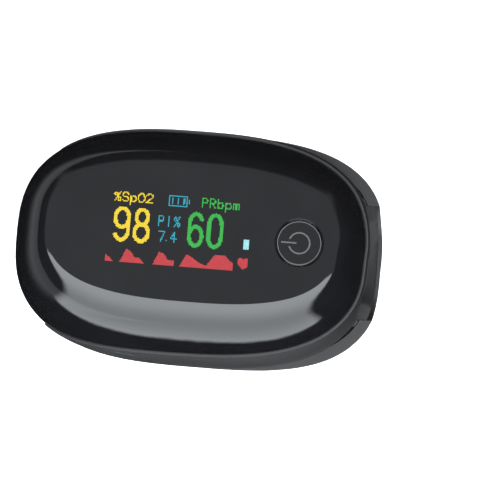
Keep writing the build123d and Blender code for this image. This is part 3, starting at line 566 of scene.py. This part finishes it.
def world():
    """Studio all round, seen as white: a dim ceiling, a bright softbox on the near side and dark ends."""
    studio = bpy.data.worlds.new("studio")
    bpy.context.scene.world = studio
    studio.use_nodes = True
    tree = studio.node_tree
    back = tree.nodes["Background"]
    place = node(tree, "ShaderNodeTexCoord")
    parts = node(tree, "ShaderNodeSeparateXYZ")
    tree.links.new(place.outputs["Generated"], parts.inputs["Vector"])
    along, across, up = (parts.outputs[axis] for axis in "XYZ")

    side = combine(tree, "ABSOLUTE", along, 0.0)
    near = combine(tree, "MULTIPLY", fade(tree, across, -0.04, -0.09), fade(tree, side, 0.62, 0.5))
    softbox = combine(tree, "MULTIPLY", near, fade(tree, up, 0.0, 0.95, SOFTBOX_LOW, SOFTBOX_HIGH))
    over = combine(tree, "MULTIPLY", fade(tree, side, 0.75, 0.55), fade(tree, across, 0.85, 0.7))
    over = combine(tree, "MULTIPLY", over, fade(tree, across, -0.09, -0.04))
    ceiling = combine(tree, "MULTIPLY", over, CEILING_LEVEL)
    total = combine(tree, "ADD", combine(tree, "ADD", softbox, ceiling), WORLD_BASE)
    seen = node(tree, "ShaderNodeLightPath").outputs["Is Camera Ray"]
    total = combine(tree, "MULTIPLY", total, combine(tree, "SUBTRACT", 1.0, seen))
    back.inputs["Color"].default_value = STUDIO_TINT
    tree.links.new(combine(tree, "ADD", total, seen), back.inputs["Strength"])


def floor_in_gloss(tree):
    """What gloss surfaces see of the floor: the softbox carried on along the near side, and a dim tail."""
    place = node(tree, "ShaderNodeTexCoord")
    parts = node(tree, "ShaderNodeSeparateXYZ")
    tree.links.new(place.outputs["Object"], parts.inputs["Vector"])
    along, across = parts.outputs["X"], parts.outputs["Y"]
    near = fade(tree, across, -0.06, -0.075, high=SOFTBOX_LOW)
    depth = combine(tree, "SUBTRACT", 0.03, across)
    spread = combine(tree, "DIVIDE", combine(tree, "ABSOLUTE", along, 0.0), depth)
    strip = combine(tree, "MULTIPLY", near, fade(tree, spread, 0.78, 0.6))
    tail = fade(tree, along, -0.05, -0.09, high=TAIL_LEVEL)
    level = combine(tree, "ADD", combine(tree, "ADD", strip, tail), FLOOR_BASE)
    glow_shader = node(tree, "ShaderNodeEmission", Color=STUDIO_TINT)
    tree.links.new(level, glow_shader.inputs["Strength"])
    return glow_shader.outputs["Emission"]


def floor():
    """Pale seamless floor, just under the object, that looks white to the camera."""
    floor_z = cad_bounds[0][2] - FLOOR_DROP
    bpy.ops.mesh.primitive_plane_add(size=FLOOR_SIZE, location=(0, 0, floor_z))
    sheet = bpy.context.object
    sheet.name = "floor"
    paper = surface("paper_sweep", (0.88, 0.88, 0.88), 0.9, 1.5, 0.02, 0.01)
    tree = paper.node_tree
    shader = tree.nodes["Principled BSDF"]
    path = node(tree, "ShaderNodeLightPath")
    shader.inputs["Emission Color"].default_value = (1, 1, 1, 1)
    white = combine(tree, "MULTIPLY", path.outputs["Is Camera Ray"], FLOOR_GLOW)
    tree.links.new(white, shader.inputs["Emission Strength"])
    choose = node(tree, "ShaderNodeMixShader")
    tree.links.new(path.outputs["Is Glossy Ray"], choose.inputs[0])
    tree.links.new(shader.outputs["BSDF"], choose.inputs[1])
    tree.links.new(floor_in_gloss(tree), choose.inputs[2])
    tree.links.new(choose.outputs["Shader"], tree.nodes["Material Output"].inputs["Surface"])
    dress(sheet, paper)


def aimed(name, data, place, aim):
    """Lamp or camera at a place, turned towards a point."""
    thing = bpy.data.objects.new(name, data)
    bpy.context.scene.collection.objects.link(thing)
    thing.location = place
    thing.rotation_euler = (aim - place).to_track_quat("-Z", "Y").to_euler()
    return thing


def fill_light():
    """Soft square lamp on the far side that doesn't show in reflections."""
    data = bpy.data.lights.new("fill", "AREA")
    data.size = 0.5
    data.energy = 4.0
    aimed("fill", data, Vector((0, 0.1, 0.7)), Vector((0, 0, 0))).visible_glossy = False


def camera():
    """Camera almost straight above, a little to the near side, with the object left of the middle."""
    azimuth, elevation, distance = radians(4.6), radians(82.0), 0.355
    flat = cos(elevation)
    aim = Vector((-0.0003, 0.0022, 0.0175))
    away = Vector((flat * sin(azimuth), -flat * cos(azimuth), sin(elevation)))
    data = bpy.data.cameras.new("camera")
    data.sensor_width = 36
    data.lens = 160
    data.shift_x = 0.103
    data.shift_y = -0.030
    bpy.context.scene.camera = aimed("camera", data, aim + distance * away, aim)


world()
floor()
fill_light()
camera()
bpy.context.scene.view_settings.view_transform = "Standard"
